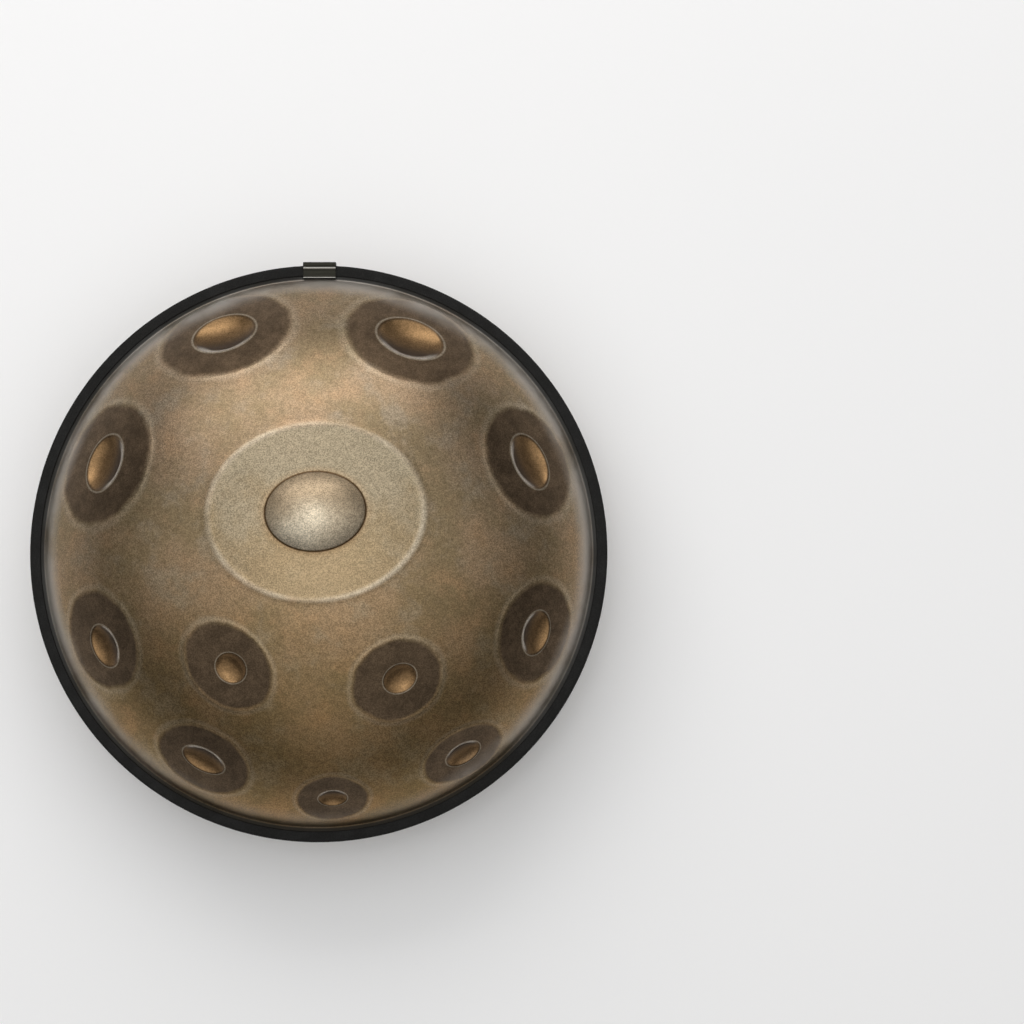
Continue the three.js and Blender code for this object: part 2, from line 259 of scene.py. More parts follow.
class NodeBench:
    """Lays out the nodes of one material and joins them."""

    def __init__(self, name: str) -> None:
        """Starts an empty material of that name."""
        self.material = bpy.data.materials.new(name)
        self.material.use_nodes = True
        self.tree = self.material.node_tree
        self.tree.nodes.clear()
        self.output = self.tree.nodes.new("ShaderNodeOutputMaterial")
        self.shader = self.tree.nodes.new("ShaderNodeBsdfPrincipled")
        self.tree.links.new(self.shader.outputs[0], self.output.inputs["Surface"])

    def put(self, socket: Socket, value: object) -> None:
        """Joins a socket to a socket, or sets it to a plain value."""
        if isinstance(value, bpy.types.NodeSocket):
            self.tree.links.new(value, socket)
        elif isinstance(value, tuple) and len(value) == 3 and socket.type == "RGBA":
            socket.default_value = (*value, 1.0)
        else:
            socket.default_value = value

    def shade(self, **sockets: object) -> None:
        """Sets the shader's sockets; a socket's name has underscores for its spaces."""
        for name, value in sockets.items():
            self.put(self.shader.inputs[name.replace("_", " ")], value)

    def position(self, stretch: tuple[float, float, float] = (1.0, 1.0, 1.0)) -> Socket:
        """The place on the object in metres, stretched along its axes."""
        place = self.tree.nodes.new("ShaderNodeTexCoord").outputs["Object"]
        if stretch == (1.0, 1.0, 1.0):
            return place
        mapping = self.tree.nodes.new("ShaderNodeMapping")
        mapping.inputs["Scale"].default_value = stretch
        self.tree.links.new(place, mapping.inputs["Vector"])
        return mapping.outputs[0]

    def part(self, axis: int) -> Socket:
        """One part of the place on the object: 0 for X, 1 for Y and 2 for Z."""
        split = self.tree.nodes.new("ShaderNodeSeparateXYZ")
        self.put(split.inputs[0], self.position())
        return split.outputs[axis]

    def spread(self) -> Socket:
        """Distance from the middle of the object."""
        node = self.tree.nodes.new("ShaderNodeVectorMath")
        node.operation = "LENGTH"
        self.put(node.inputs[0], self.position())
        return node.outputs["Value"]

    def noise(
        self, size: float, detail: float = 3.0, rough: float = 0.55, place: Socket | None = None
    ) -> Socket:
        """Cloudy noise.

        Args:
            size: Width of its largest patches, in metres.
            detail: Number of finer layers.
            rough: Strength of the finer layers.
            place: Coordinates, or None for the place on the object.

        Returns:
            The noise, around one half.
        """
        node = self.tree.nodes.new("ShaderNodeTexNoise")
        self.put(node.inputs["Vector"], place or self.position())
        node.inputs["Scale"].default_value = 1.0 / size
        node.inputs["Detail"].default_value = detail
        node.inputs["Roughness"].default_value = rough
        return node.outputs[0]

    def cells(self, size: float) -> Socket:
        """Rounded cells of about that width in metres: 0 in their middles, rising to their borders."""
        node = self.tree.nodes.new("ShaderNodeTexVoronoi")
        node.feature = "SMOOTH_F1"
        self.put(node.inputs["Vector"], self.position())
        node.inputs["Scale"].default_value = 1.0 / size
        return node.outputs["Distance"]

    def remap(
        self, value: Socket, low: float, high: float, first: float = 0.0, last: float = 1.0
    ) -> Socket:
        """Moves a range of a value softly onto another.

        Args:
            value: The value.
            low: Where the range starts.
            high: Where it ends.
            first: Result at low and before it.
            last: Result at high and beyond it.

        Returns:
            The result.
        """
        node = self.tree.nodes.new("ShaderNodeMapRange")
        node.interpolation_type = "SMOOTHSTEP"
        self.put(node.inputs["Value"], value)
        names = ("From Min", "From Max", "To Min", "To Max")
        for name, number in zip(names, (low, high, first, last)):
            node.inputs[name].default_value = number
        return node.outputs[0]

    def line(self, value: Socket, centre: float, width: float, peak: float = 1.0) -> Socket:
        """A soft line: peak where value is at centre, 0 half a width away on both sides."""
        rise = self.remap(value, centre - width / 2, centre, 0.0, peak)
        return self.times(rise, self.remap(value, centre, centre + width / 2, 1.0, 0.0))

    def times(self, first: object, second: object) -> Socket:
        """The product of two values."""
        return self.math("MULTIPLY", first, second)

    def swing(self, value: Socket, size: float) -> Socket:
        """Centres a noise on zero and gives it a size."""
        return self.times(self.math("SUBTRACT", value, 0.5), size)

    def math(self, operation: str, first: object, second: object) -> Socket:
        """Joins two values by one operation."""
        node = self.tree.nodes.new("ShaderNodeMath")
        node.operation = operation
        self.put(node.inputs[0], first)
        self.put(node.inputs[1], second)
        return node.outputs[0]

    def mix(self, share: object, first: object, second: object, blend: str = "MIX") -> Socket:
        """Mixes two colours.

        Args:
            share: Share of the second colour.
            first: The first colour.
            second: The second colour.
            blend: How they mix.

        Returns:
            The mixed colour.
        """
        node = self.tree.nodes.new("ShaderNodeMix")
        node.data_type = "RGBA"
        node.blend_type = blend
        self.put(node.inputs[0], share)
        self.put(node.inputs[6], first)
        self.put(node.inputs[7], second)
        return node.outputs[2]

    def layers(self, colour: object, *coats: tuple[object, object]) -> Socket:
        """Lays coats over a colour.

        Args:
            colour: The colour under them.
            coats: How much of each coat shows, and its own colour, the lowest first.

        Returns:
            The colour on top.
        """
        for share, paint in coats:
            colour = self.mix(share, colour, paint)
        return colour

    def mark(self, name: str) -> Socket:
        """A number that the mesh carries at each point."""
        node = self.tree.nodes.new("ShaderNodeAttribute")
        node.attribute_name = name
        return node.outputs["Fac"]

    def bump(
        self, height: Socket, depth: float, strength: object = 1.0, below: Socket | None = None
    ) -> Socket:
        """Relief finer than the mesh.

        Args:
            height: The relief, from 0 to 1.
            depth: Its real depth in metres.
            strength: How much of it shows.
            below: Another relief that this one lies on.

        Returns:
            The bent normal.
        """
        node = self.tree.nodes.new("ShaderNodeBump")
        node.inputs["Distance"].default_value = depth
        self.put(node.inputs["Strength"], strength)
        self.put(node.inputs["Height"], height)
        if below is not None:
            self.put(node.inputs["Normal"], below)
        return node.outputs[0]


# ---------------------------------------------------------------- finishes


@dataclass(frozen=True)
class SteelFinish:
    """Nitrided, oiled steel: a bronze skin with a fine grain and a slow drift of temper colours."""

    name: str
    coat: Coat
    skin: Colour = (0.28, 0.205, 0.135)
    olive: Colour = (0.215, 0.165, 0.10)
    copper: Colour = (0.315, 0.215, 0.13)
    ash: Colour = (0.265, 0.22, 0.163)
    # Painted shade: the near (-Y) side of the upper shell is tinted a deeper gold, as its shaded side
    # looks.
    near_shade_tint: Colour = (1.04, 0.93, 0.70)
    gilt: Colour = (0.36, 0.245, 0.115)
    tone: Colour = (0.108, 0.076, 0.049)
    ding_tone: Colour = (0.32, 0.275, 0.195)
    ding_gold: Colour = (0.28, 0.215, 0.13)
    bowl: Colour = (0.25, 0.155, 0.076)
    # Dark colour of the painted shade on the ding side of each dimple.
    bowl_painted_shade: Colour = (0.05, 0.032, 0.018)
    dome: Colour = (0.36, 0.285, 0.195)
    # Pale colour of the painted highlight on the ding's dome.
    dome_highlight: Colour = (0.64, 0.57, 0.45)
    # Dark colour of painted shade in the grooves round the dimples and the dome.
    groove: Colour = (0.10, 0.06, 0.03)
    # Pale colour of painted highlight lines on the ridges round the fields, the ding and the dimples.
    painted_highlight: Colour = (0.52, 0.46, 0.36)
    # Pale crescent of painted highlight inside each dimple's edge, on its ding side.
    lip: Colour = (0.72, 0.69, 0.64)
    # Pale colour of the painted sheen on the steep wall, standing in for the bright floor that it
    # reflects.
    wall: Colour = (0.46, 0.43, 0.39)
    # Near-black painted shadow in the crease between the wall's foot and the trim's lip.
    foot_shadow: Colour = (0.006, 0.006, 0.005)
    inside: Colour = (0.016, 0.015, 0.014)
    grain_size: float = 1.3 * MM
    grain_depth: float = 0.06 * MM
    mottle_size: float = 5 * MM
    drift_size: float = 70 * MM
    roughness: float = 0.38
    rim_height: float = 108 * MM
    half_seam: float = 1.6 * MM
    gilt_reach: Span = (68 * MM, 104 * MM)
    gilt_share: float = 0.6
    near_shade_reach: Span = (-240 * MM, 100 * MM)
    copper_edges: Span = (0.5, 0.72)
    ash_edges: Span = (0.3, 0.5)
    patch_share: float = 0.75
    speckle_edges: Span = (0.34, 0.66)
    speckle_shades: tuple[Colour, Colour] = ((0.56, 0.545, 0.52), (1.42, 1.41, 1.39))
    mottle_shades: tuple[Colour, Colour] = ((0.91, 0.90, 0.88), (1.10, 1.09, 1.07))
    shade_share: float = 0.9
    tone_smoothness: float = 0.75
    dome_bluntness: float = 0.07
    wall_sheen_reach: Span = (8 * MM, 33 * MM)
    wall_sheen_share: float = 0.85
    foot_shadow_reach: Span = (1.5 * MM, 2.3 * MM)
    shaded_reach: Span = (-260 * MM, -120 * MM)

    def build(self) -> bpy.types.Material:
        """Builds the material."""
        bench = NodeBench(self.name)
        drift = bench.noise(self.drift_size, 4.0)
        colour = bench.mix(bench.remap(drift, *CLOUD), self.olive, self.skin)
        patches = bench.noise(self.drift_size * 0.55, 4.0, 0.6)
        coppery = bench.remap(patches, *self.copper_edges, 0.0, self.patch_share)
        ashen = bench.remap(patches, *self.ash_edges, self.patch_share, 0.0)
        colour = bench.layers(colour, (coppery, self.copper), (ashen, self.ash))
        grain = bench.noise(self.grain_size, 4.0, 0.75)
        speckle = bench.remap(grain, *self.speckle_edges)
        smooth: object = 1.0
        rough: object = self.roughness - 0.06
        if self.coat is Coat.TUNED:
            # Painted shade: a deeper gold tint that grows towards the near (-Y) side.
            near_shade_share = bench.remap(bench.part(1), *self.near_shade_reach, 1.0, 0.0)
            colour = bench.mix(near_shade_share, colour, bench.mix(1.0, colour, self.near_shade_tint, "MULTIPLY"))
            smooth = bench.remap(bench.mark("tone_reach"), 0.85, 1.0, self.tone_smoothness, 1.0)
            colour = self.ding_colours(bench, self.tone_colours(bench, colour))
            blunt = bench.remap(bench.mark("dome_reach"), 0.95, 1.0, self.dome_bluntness, 0.0)
            rough = bench.math("ADD", rough, blunt)
        shades = bench.mix(speckle, *self.speckle_shades)
        colour = bench.mix(bench.times(self.shade_share, smooth), colour, shades, "MULTIPLY")
        mottle = bench.remap(bench.noise(self.mottle_size, 3.0, 0.6), *CLOUD)
        shades = bench.mix(mottle, *self.mottle_shades)
        colour = bench.mix(self.shade_share, colour, shades, "MULTIPLY")
        if self.coat is Coat.PLAIN:
            gilded = bench.remap(bench.spread(), *self.gilt_reach, self.gilt_share, 0.0)
            colour = bench.mix(gilded, colour, self.gilt)
        # Painted light near the rim: a pale sheen on the steep wall and a black shadow at its foot.
        wall_sheen, foot = self.rim_marks(bench)
        within = bench.mark("inside")
        coats = (wall_sheen, self.wall), (foot, self.foot_shadow), (within, self.inside)
        colour = bench.layers(colour, *coats)
        relief = bench.bump(grain, self.grain_depth, smooth)
        if self.coat is Coat.PLAIN:
            pebbles = bench.cells(self.grain_size * 1.4)
            relief = bench.bump(pebbles, self.grain_depth * 2.0, 0.6, relief)
        # Metallic drops where the painted wall sheen lies.
        bench.shade(
            Base_Color=colour,
            Metallic=bench.math("SUBTRACT", 1.0, bench.times(wall_sheen, 0.5)),
            Roughness=bench.math("ADD", rough, bench.times(speckle, 0.12)),
            Normal=relief,
        )
        return bench.material

    def rim_marks(self, bench: NodeBench) -> tuple[Socket, Socket]:
        """Finds the steep wall above the rim and its foot by the trim's lip, where light and shade are
        painted.

        Args:
            bench: The material's bench.

        Returns:
            How far the wall gets its painted pale sheen, less towards the near side, and how far the
            foot gets its painted shadow.
        """
        seam = self.rim_height - self.half_seam
        lift = bench.math("ABSOLUTE", bench.math("SUBTRACT", bench.part(2), seam), 0.0)
        # Painted reflection: a pale band on the steep wall, patchy at random, fading as painted shade
        # towards the near (-Y) side.
        patchy = bench.remap(bench.noise(60 * MM), 0.35, 0.6, 0.5, 1.0)
        sheen_side = bench.remap(bench.part(1), *self.shaded_reach, 0.25, 1.0)
        near_rim = bench.remap(lift, *self.wall_sheen_reach, self.wall_sheen_share, 0.0)
        wall_sheen = bench.times(near_rim, bench.times(patchy, sheen_side))
        # Painted shadow: the wall's foot next to the trim is blackened.
        return wall_sheen, bench.remap(lift, *self.foot_shadow_reach, 1.0, 0.0)

    def tone_colours(self, bench: NodeBench, colour: Socket) -> Socket:
        """Adds the colours of the tone fields.

        Args:
            bench: The material's bench.
            colour: Colour of the steel between the fields.

        Returns:
            The colour everywhere.
        """
        ragged = bench.swing(bench.noise(22 * MM, 3.0, 0.5), 0.14)
        reach = bench.math("ADD", bench.mark("tone_reach"), ragged)
        strokes = bench.remap(bench.noise(18 * MM, 4.0, 0.6), 0.35, 0.65)
        darker, paler = (tuple(share * c for c in self.tone) for share in (0.86, 1.2))
        tone = bench.mix(strokes, darker, paler)
        return bench.layers(
            colour,
            # Painted highlight line on the ridge just outside each field.
            (bench.line(reach, 1.05, 0.22, 0.16), self.painted_highlight),
            (bench.remap(reach, 0.90, 1.02, 1.0, 0.0), tone),
        )

    def ding_colours(self, bench: NodeBench, colour: Socket) -> Socket:
        """Adds the colours of the ding, and of the dimples pressed into the tone fields, with painted
        shade and highlights.

        Args:
            bench: The material's bench.
            colour: Colour of the steel and its tone fields.

        Returns:
            The colour everywhere.
        """
        ding_reach = bench.mark("ding_reach")
        cloudy = bench.swing(bench.noise(34 * MM, 4.0, 0.6), 2.4)
        gilt = bench.remap(bench.math("ADD", bench.mark("ding_fall"), cloudy), -0.6, 0.6)
        ding_tone = bench.mix(gilt, self.ding_gold, self.ding_tone)
        patchy = bench.remap(bench.noise(90 * MM), 0.35, 0.6, 0.25, 0.65)
        # Painted shade and highlight in the dimples: dark towards the ding, gold towards the rim, and a
        # pale crescent inside the edge on the dark side.
        bowl, fall = bench.mark("bowl_reach"), bench.mark("bowl_fall")
        shaded_bowl = bench.mix(bench.remap(fall, -0.6, 0.75), self.bowl_painted_shade, self.bowl)
        lit = bench.remap(fall, -0.85, -0.3, 1.0, 0.0)
        dome = bench.mark("dome_reach")
        # Painted light on the dome: highlight spots, and painted shade towards its top.
        dome_highlight = bench.math("ADD", bench.mark("dome_highlight"), bench.times(cloudy, 0.2))
        dome_skin = bench.mix(bench.remap(dome_highlight, 0.0, 1.0), self.dome, self.dome_highlight)
        return bench.layers(
            colour,
            (bench.remap(ding_reach, 0.96, 1.0, 0.85, 0.0), ding_tone),
            # Painted highlight on the ding field's ridge.
            (bench.times(bench.line(ding_reach, 1.0, 0.1), patchy), self.painted_highlight),
            # Painted shade along the groove round each dimple.
            (bench.line(bowl, 1.0, 0.14, 0.6), self.groove),
            (bench.remap(bowl, 0.94, 1.0, 1.0, 0.0), shaded_bowl),
            # Painted highlight just outside each dimple's edge.
            (bench.line(bowl, 1.07, 0.12, 0.4), self.painted_highlight),
            (bench.times(bench.line(bowl, 0.92, 0.34), lit), self.lip),
            (bench.remap(dome, 1.0, 1.2, 0.35, 0.0), self.bowl),
            (bench.remap(dome, 0.95, 1.0, 1.0, 0.0), dome_skin),
            # Painted shade along the groove round the dome.
            (bench.line(dome, 1.0, 0.08), self.groove),
        )


@dataclass(frozen=True)
class RubberFinish:
    """Matt black extruded rubber with an open, foam-like grain."""

    name: str = "edge_trim_rubber"
    base: Colour = (0.004, 0.004, 0.0036)
    bloom: Colour = (0.013, 0.0125, 0.0115)
    pore_size: float = 1.1 * MM
    pore_depth: float = 0.12 * MM

    def build(self) -> bpy.types.Material:
        """Builds the material."""
        bench = NodeBench(self.name)
        pores = bench.noise(self.pore_size, 4.0, 0.65)
        dust = bench.noise(22 * MM, 4.0, 0.6)
        colour = bench.mix(bench.remap(pores, 0.35, 0.7), self.base, self.bloom)
        colour = bench.mix(bench.remap(dust, 0.45, 0.75, 0.0, 0.35), colour, self.bloom)
        bench.shade(
            Base_Color=colour,
            Roughness=bench.remap(dust, 0.3, 0.7, 0.62, 0.8),
            Specular_IOR_Level=0.2,
            Normal=bench.bump(pores, self.pore_depth, 0.8),
        )
        return bench.material


@dataclass(frozen=True)
class ClipFinish:
    """Dark olive steel, brushed along its length, with painted highlights along two of its edges."""

    name: str = "trim_clip_steel"
    base: Colour = (0.016, 0.0155, 0.0115)
    worn: Colour = (0.038, 0.036, 0.028)
    edge_highlight_colour: Colour = (0.45, 0.44, 0.41)

    def build(self) -> bpy.types.Material:
        """Builds the material."""
        bench = NodeBench(self.name)
        brushed = bench.noise(0.6 * MM, 4.0, 0.7, bench.position((0.04, 1.0, 1.0)))
        # Painted highlight: near-white colour along the clip's two edges that catch the light.
        edge_highlight = bench.mark("edge_highlight")
        colour = bench.mix(bench.remap(brushed, 0.3, 0.7, 0.0, 0.35), self.base, self.worn)
        colour = bench.mix(edge_highlight, colour, self.edge_highlight_colour)
        bench.shade(
            Base_Color=colour,
            Metallic=0.9,
            Roughness=bench.remap(brushed, 0.3, 0.7, 0.3, 0.45),
            Normal=bench.bump(brushed, 0.02 * MM),
        )
        return bench.material


@dataclass(frozen=True)
class MouldedFinish:
    """Glossy black moulded plastic with faint handling haze."""

    name: str = "port_ring_plastic"
    base: Colour = (0.008, 0.008, 0.009)
    haze: Colour = (0.020, 0.020, 0.021)

    def build(self) -> bpy.types.Material:
        """Builds the material."""
        bench = NodeBench(self.name)
        cloud = bench.noise(14 * MM, 5.0, 0.6)
        hair = bench.noise(0.5 * MM, 3.0, 0.6, bench.position((1.0, 0.08, 0.08)))
        scratches = bench.remap(hair, 0.62, 0.75, 0.0, 0.08)
        bench.shade(
            Base_Color=bench.mix(bench.remap(cloud, 0.4, 0.75), self.base, self.haze),
            Roughness=bench.math("ADD", bench.remap(cloud, 0.35, 0.7, 0.10, 0.2), scratches),
            Normal=bench.bump(cloud, 0.03 * MM, 0.5),
            Coat_Weight=0.4,
            Coat_Roughness=0.08,
        )
        return bench.material


@dataclass(frozen=True)
class SealantFinish:
    """Cured sealant or glue: dull, slightly lumpy, with trapped dust."""

    name: str
    base: Colour = (0.022, 0.021, 0.020)
    dust: Colour = (0.07, 0.065, 0.06)

    def build(self) -> bpy.types.Material:
        """Builds the material."""
        bench = NodeBench(self.name)
        lumps = bench.noise(3 * MM, 4.0, 0.6)
        specks = bench.remap(bench.noise(1.2 * MM, 2.0), 0.55, 0.75)
        bench.shade(
            Base_Color=bench.mix(specks, self.base, self.dust),
            Roughness=bench.remap(lumps, 0.3, 0.7, 0.5, 0.7),
            Normal=bench.bump(lumps, 0.2 * MM),
        )
        return bench.material


# ---------------------------------------------------------------- shells


@dataclass(frozen=True)
class Dome:
    """The curve that a shell is pressed to, from its crown out to its flange."""

    rise: float
    wall: float = 265 * MM
    flatness: float = 2.25
    shoulder: float = 1.35
    fillet: float = 3 * MM
    flange: float = 277 * MM

    def height(self, radius: np.ndarray) -> np.ndarray:
        """Height above the flange at a distance from the axis."""
        return self.rise * (1.0 - (radius / self.wall) ** self.flatness) ** (1.0 / self.shoulder)

    def slope(self, radius: np.ndarray) -> np.ndarray:
        """Angle of the surface below the horizontal at a distance from the axis."""
        share = (radius / self.wall) ** self.flatness
        fall = (1.0 - share) ** (1.0 / self.shoulder - 1.0)
        growth = (radius / self.wall) ** (self.flatness - 1.0)
        return np.arctan(self.rise * fall * self.flatness * growth / (self.shoulder * self.wall))

    def foot(self) -> float:
        """Distance from the axis at which the dome meets its fillet."""
        share = (self.fillet / self.rise) ** self.shoulder
        return self.wall * (1.0 - share) ** (1.0 / self.flatness)

    def stations(self, start: float, step: float) -> np.ndarray:
        """Points of the pressed face, from a distance from the axis out to the flange's edge.

        Args:
            start: Where they start.
            step: Their spacing along the face.

        Returns:
            Rows of distance, height and the two parts of the face's outward direction.
        """
        foot = self.foot()
        fine = start + (foot - start) * np.sin(np.linspace(0.0, math.pi / 2, 4000))
        slope = self.slope(fine)
        dome = np.column_stack([fine, self.height(fine), np.sin(slope), np.cos(slope)])
        rows = resample(dome[:, :2], step)
        angle = self.slope(rows[:, 0])
        dome = np.column_stack([rows, np.sin(angle), np.cos(angle)])
        turn = np.linspace(0.0, math.pi / 2, 9)[1:]
        centre = foot + self.fillet
        across, along = np.cos(turn), np.sin(turn)
        place = [centre - self.fillet * across, self.fillet * (1.0 - along)]
        bend = np.column_stack([*place, across, along])
        reach = np.linspace(centre, self.flange, 6)[1:]
        flat = np.column_stack([reach, np.zeros(5), np.zeros(5), np.ones(5)])
        return np.vstack([dome, bend, flat])


@dataclass(frozen=True)
class Tone:
    """One tone of the upper shell. Lengths run along the rim, and widths towards it."""

    azimuth: float
    radius: float
    field: Span
    dimple: Span
    turn: float
    slide: float = 0.0


@dataclass(frozen=True)
class ToneSite:
    """Where a tone lies on the dome: its middle and the directions of its length and width."""

    middle: np.ndarray
    length_way: np.ndarray
    width_way: np.ndarray
    up: np.ndarray

    @classmethod
    def of(cls, tone: Tone, dome: Dome, slide: float) -> ToneSite:
        """Finds a tone's site.

        Args:
            tone: The tone.
            dome: The dome that it is pressed into.
            slide: How far along the rim its middle is moved.

        Returns:
            The site.
        """
        azimuth, turn = math.radians(tone.azimuth), math.radians(tone.turn)
        radius = tone.radius * MM
        slope = float(dome.slope(np.array(radius)))
        outward = np.array([math.cos(azimuth), math.sin(azimuth), 0.0])
        along = np.array([-math.sin(azimuth), math.cos(azimuth), 0.0])
        above = np.array([0.0, 0.0, 1.0])
        down = outward * math.cos(slope) - above * math.sin(slope)
        up = outward * math.sin(slope) + above * math.cos(slope)
        middle = outward * radius + above * float(dome.height(np.array(radius))) + along * slide * MM
        return cls(
            middle,
            along * math.cos(turn) + down * math.sin(turn),
            down * math.cos(turn) - along * math.sin(turn),
            up,
        )

    def reach(self, points: np.ndarray, size: Span) -> np.ndarray:
        """How far out points lie in an oval: 0 in its middle, 1 on its outline.

        Args:
            points: One point a row.
            size: The oval's length and width in millimetres.

        Returns:
            A number for each point, large for those on the far side of the dome.
        """
        along, across = self.ways(points, size)
        far = np.abs((points - self.middle) @ self.up) > 70 * MM
        return np.where(far, 9.0, np.hypot(along, across))

    def ways(self, points: np.ndarray, size: Span) -> tuple[np.ndarray, np.ndarray]:
        """Where points lie along and across an oval, each from -1 on one edge to 1 on the other.

        Args:
            points: One point a row.
            size: The oval's length and width in millimetres.

        Returns:
            The two places of each point.
        """
        offset = points - self.middle
        length, width = (number * MM / 2 for number in size)
        return offset @ self.length_way / length, offset @ self.width_way / width


DING = Tone(83, 34, (203, 166), (95, 75.5), -11)
RING_TONES = (
    Tone(113, 228, (133, 108), (61, 47), 16),
    Tone(66, 224, (129, 110), (64, 49), -10),
    Tone(157.5, 219, (124, 108), (55, 42), -4),
    Tone(22.5, 223, (114, 98), (54, 39), -4),
    Tone(204.5, 221, (99, 87), (41, 32), 0, -6),
    Tone(339.5, 226, (100, 88), (42, 32), -10),
    Tone(242, 227, (96, 80), (42, 28), -2),
    Tone(306, 241, (86, 64), (35, 26), 11),
    Tone(274, 238, (69, 62), (27, 21), 0),
)
INNER_TONES = (
    Tone(236, 136, (95, 76), (30, 28), 12, -3),
    Tone(304, 148, (90, 79), (32, 27), 2, -3),
)


@dataclass
class TopShell:
    """The upper shell with its ding, its tone fields and their dimples."""

    dome: Dome = Dome(rise=124 * MM)
    sheet: float = 1.2 * MM
    field_depth: float = 2.2 * MM
    field_softness: float = 0.15
    dimple_slope: float = 0.34
    dimple_cut: float = 0.42
    ding_height: float = 13 * MM
    ding_cut: float = 0.66
    edge_rounding: float = 0.4 * MM
    groove_depth: float = 0.45 * MM
    ding_ridge: float = 0.55 * MM
    tone_ridge: float = 0.22 * MM
    step: float = 0.95 * MM
    inner_step: float = 3.2 * MM
    ring_start: float = 200.0
    # How much the inner dimples' painted shade is flattened and lightened.
    inner_fall: float = 0.35
    inner_glow: float = 0.4
    sides: int = 1080
    # Spots of painted highlight on the dome: across, down, spread and strength.
    dome_highlight_spots: tuple[tuple[float, float, float, float], ...] = (
        (0.05, -0.15, 0.42, 0.5),
        (0.52, -0.66, 0.34, 0.8),
    )
    tones: tuple[Tone, ...] = RING_TONES + INNER_TONES
    finish: SteelFinish = field(default_factory=lambda: SteelFinish("top_shell_steel", Coat.TUNED))

    def cap(self, reach: np.ndarray, height: float, cut: float) -> np.ndarray:
        """A rounded cap that runs on past its outline as a cone.

        Args:
            reach: How far out each point lies, 1 on the outline.
            height: The cap's height in its middle.
            cut: Where the cap is cut from a unit ball; lower is steeper at the edge.

        Returns:
            Its height at each point, below zero outside.
        """
        ball = np.sqrt(np.maximum(0.0, 1.0 - reach * reach * (1.0 - cut * cut)))
        inner = height / (1.0 - cut) * (ball - cut)
        outer = -height * (1.0 + cut) / cut * (reach - 1.0)
        return np.where(reach < 1.0, inner, outer)

    def pressed(self, reach: np.ndarray, height: float, cut: float) -> np.ndarray:
        """A cap with its edge rounded over, and next to nothing outside it."""
        cap = self.cap(reach, height, cut)
        rounding = self.edge_rounding
        rounded = 0.5 * (cap + np.sqrt(cap * cap + rounding**2))
        return rounded - 0.5 * rounding * np.exp(-((cap / rounding) ** 2))

    def shaped(self, rows: np.ndarray, depth: float) -> tuple[np.ndarray, dict[str, np.ndarray]]:
        """Places the points of one face of the sheet.

        Args:
            rows: Stations of the dome.
            depth: Depth of the face inside the sheet.

        Returns:
            The points, section by section round the axis, and the marks that the finish reads.
        """
        angle = np.repeat(np.linspace(0.0, 2.0 * math.pi, self.sides, endpoint=False), len(rows))
        r, z, nr, nz = (np.tile(rows[:, k], self.sides) for k in range(4))
        normal = np.column_stack([nr * np.cos(angle), nr * np.sin(angle), nz])
        points = np.column_stack([r * np.cos(angle), r * np.sin(angle), z])
        lift = np.zeros(len(points))
        tone_reach = np.full(len(points), FAR)
        bowl_reach = np.full(len(points), FAR)
        bowl_fall = np.zeros(len(points))
        for tone in self.tones:
            reach = ToneSite.of(tone, self.dome, tone.slide).reach(points, tone.field)
            lift += self.ridge(reach, self.tone_ridge) - self.dish(reach)
            tone_reach = np.minimum(tone_reach, reach)
            site = ToneSite.of(tone, self.dome, 0.0)
            reach = site.reach(points, tone.dimple)
            drop = self.dimple_slope * tone.dimple[1] * MM / 2
            lift -= self.pressed(reach, drop, self.dimple_cut)
            bowl_reach = np.minimum(bowl_reach, reach)
            # bowl_fall runs from the ding side to the rim side of each dimple and sets its painted
            # shade.
            _, fall = site.ways(points, tone.dimple)
            if tone.radius < self.ring_start:
                fall = fall * self.inner_fall + self.inner_glow
            bowl_fall = np.where(reach < 1.5, fall, bowl_fall)
        site = ToneSite.of(DING, self.dome, 0.0)
        ding_reach = site.reach(points, DING.field)
        dome_reach = site.reach(points, DING.dimple)
        lift += self.pressed(dome_reach, self.ding_height, self.ding_cut) - self.dish(ding_reach)
        lift += self.ridge(ding_reach, self.ding_ridge)
        lift -= self.groove_depth * np.exp(-(((dome_reach - 1.02) / 0.035) ** 2))
        ding_side, ding_fall = site.ways(points, DING.dimple)
        # Painted light on the dome: darker towards its top, with pale highlight spots in its middle and
        # towards -X and -Y.
        dome_highlight = 0.2 - 0.45 * ding_fall
        for across, down, spread, painted_highlight in self.dome_highlight_spots:
            dome_highlight += painted_highlight * np.exp(-((ding_side - across) ** 2 + (ding_fall - down) ** 2) / spread**2)
        marks = {
            "dome_highlight": np.clip(dome_highlight, -1.0, 1.0),
            "ding_fall": np.clip(ding_fall * DING.dimple[1] / DING.field[1], -1.0, 1.0),
            "tone_reach": tone_reach,
            "bowl_reach": bowl_reach,
            "bowl_fall": bowl_fall,
            "ding_reach": np.minimum(ding_reach, FAR),
            "dome_reach": np.minimum(dome_reach, FAR),
        }
        return points + normal * (lift - depth)[:, None], marks

    def ridge(self, reach: np.ndarray, height: float) -> np.ndarray:
        """The soft ridge that hammering leaves round a tone field."""
        return height * np.exp(-(((reach - 1.0) / 0.045) ** 2))

    def dish(self, reach: np.ndarray) -> np.ndarray:
        """Depth of a tone field's shallow dish."""
        inside = np.maximum(0.0, 1.0 - reach * reach)
        return self.field_depth * inside * inside / (inside + self.field_softness)

